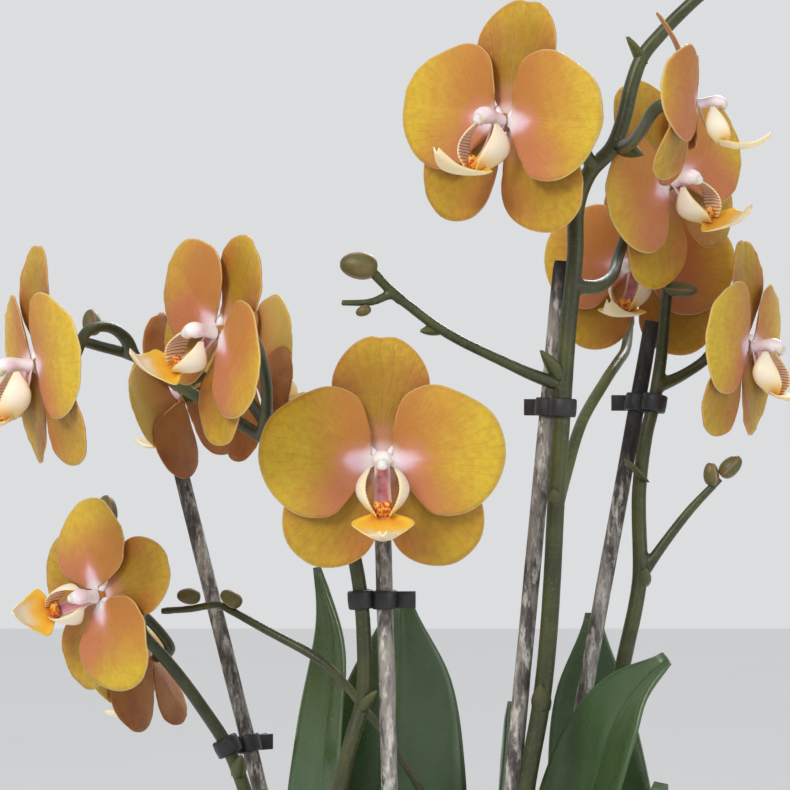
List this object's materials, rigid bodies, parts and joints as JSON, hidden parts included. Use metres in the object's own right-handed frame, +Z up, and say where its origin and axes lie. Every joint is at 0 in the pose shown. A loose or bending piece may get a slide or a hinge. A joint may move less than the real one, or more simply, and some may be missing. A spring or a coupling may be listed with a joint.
{
  "type": "potted moth orchid",
  "caption": "Potted moth orchid with orange and yellow blooms on tall arching spikes, tied by clips to cane stakes, with strap leaves and bark in a plain tapered pot.",
  "frame": {"origin": "centre of the pot's underside", "axes": "+Z up along the plant, -Y towards the side that the open blooms face, +X to the right as seen from that side"},
  "size_m": [0.3134, 0.2425, 0.5573],
  "materials": {
    "tepal": "satin",
    "lip": "satin",
    "stem": "satin",
    "crown": "satin",
    "leaf": "satin",
    "cane": "matte",
    "clip": "matte",
    "bark": "matte",
    "pot": "satin"
  },
  "bodies": {
    "root": {"pot": "pot", "bark_medium": "bark", "crown_right": "crown", "crown_left": "crown", "crown_back": "crown", "leaf_1": "leaf", "leaf_2": "leaf", "leaf_3": "leaf", "leaf_4": "leaf", "leaf_5": "leaf", "leaf_6": "leaf", "leaf_7": "leaf", "leaf_8": "leaf", "leaf_9": "leaf", "spike_a": "stem", "spike_b": "stem", "spike_d": "stem", "spike_g": "stem", "stake_a": "cane", "clip_a": "clip", "stake_b": "cane", "clip_b": "clip", "stake_d": "cane", "clip_d": "clip", "stake_g": "cane", "clip_g": "clip", "bloom_01_tepals": "tepal", "bloom_01_lip": "lip", "bloom_02_tepals": "tepal", "bloom_02_lip": "lip", "bloom_03_tepals": "tepal", "bloom_03_lip": "lip", "bloom_04_tepals": "tepal", "bloom_04_lip": "lip", "bloom_05_tepals": "tepal", "bloom_05_lip": "lip", "bloom_06_tepals": "tepal", "bloom_06_lip": "lip", "bloom_07_tepals": "tepal", "bloom_07_lip": "lip", "bloom_08_tepals": "tepal", "bloom_08_lip": "lip", "bloom_09_tepals": "tepal", "bloom_09_lip": "lip", "bloom_10_tepals": "tepal", "bloom_10_lip": "lip", "bloom_11_tepals": "tepal", "bloom_11_lip": "lip", "bloom_12_tepals": "tepal", "bloom_12_lip": "lip"}
  },
  "joints": []
}
